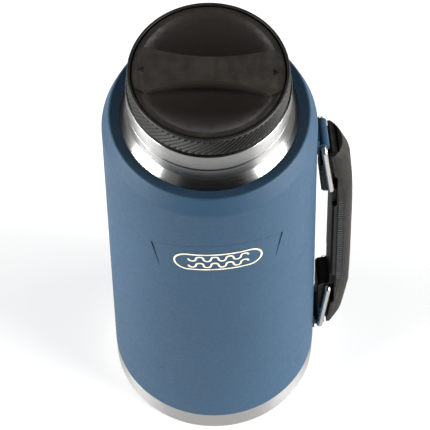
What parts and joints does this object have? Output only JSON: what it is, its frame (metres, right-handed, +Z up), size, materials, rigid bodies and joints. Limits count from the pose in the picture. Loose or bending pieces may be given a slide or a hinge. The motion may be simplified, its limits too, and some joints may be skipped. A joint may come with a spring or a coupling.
{
  "type": "vacuum water jug",
  "caption": "Tall insulated steel water jug with a wide screw collar, a twist-out stopper with a turning bar, and a pull-out carry handle on wire bails.",
  "frame": {"origin": "centre of the flat base, on the body's axis, where the jug stands", "axes": "+Z up along the body's axis, +X towards the carry handle, -Y towards the badge"},
  "size_m": [0.1415, 0.1202, 0.3153],
  "materials": {
    "blue_coat": "fine matt powder coat",
    "steel_satin": "satin, turned and brushed round the axis",
    "steel_inner": "plain drawn sheet",
    "wire": "polished wire",
    "lid_black": "fine moulded texture",
    "grip_black": "fine moulded texture",
    "soft_black": "ribbed soft overmould",
    "silicone": "smooth silicone",
    "badge_cream": "printed, satin",
    "foam": "rigid foam"
  },
  "bodies": {
    "jug": {"outer_shell": "blue_coat", "base_cup": "steel_satin", "vacuum_seal": "steel_satin", "inner_flask": "steel_inner", "vacuum_getter": "steel_inner", "neck_sleeve": "steel_satin", "upper_bracket": "blue_coat", "lower_bracket": "blue_coat", "front_badge": "badge_cream"},
    "grip": {"grip_outer": "grip_black", "grip_inner": "grip_black", "grip_rib_bands": "soft_black", "grip_screws": "wire"},
    "upper_bail": {"upper_bail": "wire"},
    "lower_bail": {"lower_bail": "wire"},
    "collar_seal": {"collar_gasket": "silicone"},
    "collar": {"collar_ring": "lid_black", "collar_skirt": "lid_black"},
    "stopper_seal": {"stopper_gasket": "silicone"},
    "stopper": {"stopper_cap": "lid_black", "stopper_base": "lid_black", "stopper_insulation": "foam"}
  },
  "joints": [
    {"name": "grip_pull", "type": "slide", "parent": "jug", "child": "grip", "axis": [1, 0, 0], "range_m": [0, 0.028]},
    {"name": "upper_bail_swing", "type": "hinge", "parent": "jug", "child": "upper_bail", "pos_m": [0.063, 0, 0.2355], "axis": [0, -1, 0], "range_deg": [0, 41.08]},
    {"name": "lower_bail_swing", "type": "hinge", "parent": "jug", "child": "lower_bail", "pos_m": [0.063, 0, 0.0295], "axis": [0, 1, 0], "range_deg": [0, 41.08]},
    {"name": "collar_lift", "type": "slide", "parent": "jug", "child": "collar_seal", "axis": [0, 0, 1], "range_m": [0, 0.0161]},
    {"name": "collar_turn", "type": "hinge", "parent": "collar_seal", "child": "collar", "pos_m": [0, 0, 0.3], "axis": [0, 0, 1], "range_deg": [0, 720]},
    {"name": "stopper_lift", "type": "slide", "parent": "collar", "child": "stopper_seal", "axis": [0, 0, 1], "range_m": [0, 0.0281]},
    {"name": "stopper_turn", "type": "hinge", "parent": "stopper_seal", "child": "stopper", "pos_m": [0, 0, 0.3], "axis": [0, 0, 1], "range_deg": [0, 840]}
  ],
  "couplings": [
    {"joint": "upper_bail_swing", "follows": "grip_pull", "rad_per_m": 25.479},
    {"joint": "lower_bail_swing", "follows": "grip_pull", "rad_per_m": 25.479},
    {"joint": "collar_lift", "follows": "collar_turn", "m_per_rad": 0.0012732},
    {"joint": "stopper_lift", "follows": "stopper_turn", "m_per_rad": 0.0019099}
  ]
}
